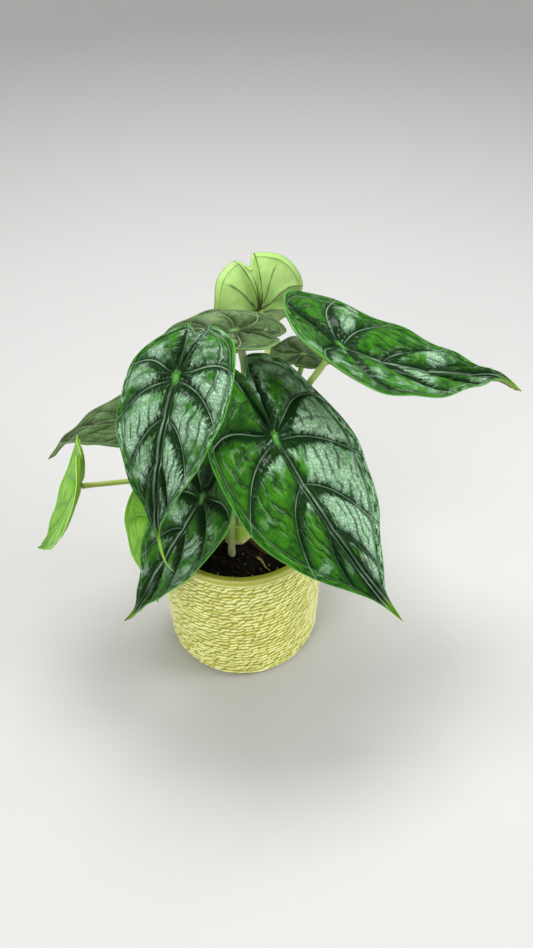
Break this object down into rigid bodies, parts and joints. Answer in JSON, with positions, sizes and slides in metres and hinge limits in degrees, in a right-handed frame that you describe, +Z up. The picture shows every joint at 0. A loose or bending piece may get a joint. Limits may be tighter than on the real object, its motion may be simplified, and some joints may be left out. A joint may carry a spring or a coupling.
{
  "type": "potted dragon scale alocasia",
  "caption": "Potted alocasia with quilted shield-shaped leaves on slim stalks, in a glazed cylinder pot covered with raised woven texture.",
  "frame": {"origin": "middle of the pot's foot, on the surface that the pot stands on", "axes": "+Z up along the pot's axis, -Y towards the front of the plant, +X to the right as seen from the front"},
  "size_m": [0.3262, 0.2545, 0.2717],
  "materials": {
    "glaze": "chartreuse glaze over raised stitches",
    "soil": "crumbly dark potting mix of bark and fibre, matte",
    "stem": "pale green sheaths with papery edges",
    "stalk": "satin pale green stalk",
    "leaf": "quilted dark green skin with a silver sheen",
    "young_leaf": "satin lime green skin"
  },
  "bodies": {
    "root": {"pot": "glaze", "soil": "soil", "stem_base": "stem", "leaf_front_right": "leaf", "stalk_front_right": "stalk", "leaf_front_left": "leaf", "stalk_front_left": "stalk", "leaf_front_low": "leaf", "stalk_front_low": "stalk", "leaf_young_low": "young_leaf", "stalk_young_low": "stalk", "leaf_young_left": "young_leaf", "stalk_young_left": "stalk", "leaf_left": "leaf", "stalk_left": "stalk", "leaf_top": "leaf", "stalk_top": "stalk", "leaf_back": "leaf", "stalk_back": "stalk", "leaf_back_low": "leaf", "stalk_back_low": "stalk", "leaf_right": "leaf", "stalk_right": "stalk"}
  },
  "joints": []
}
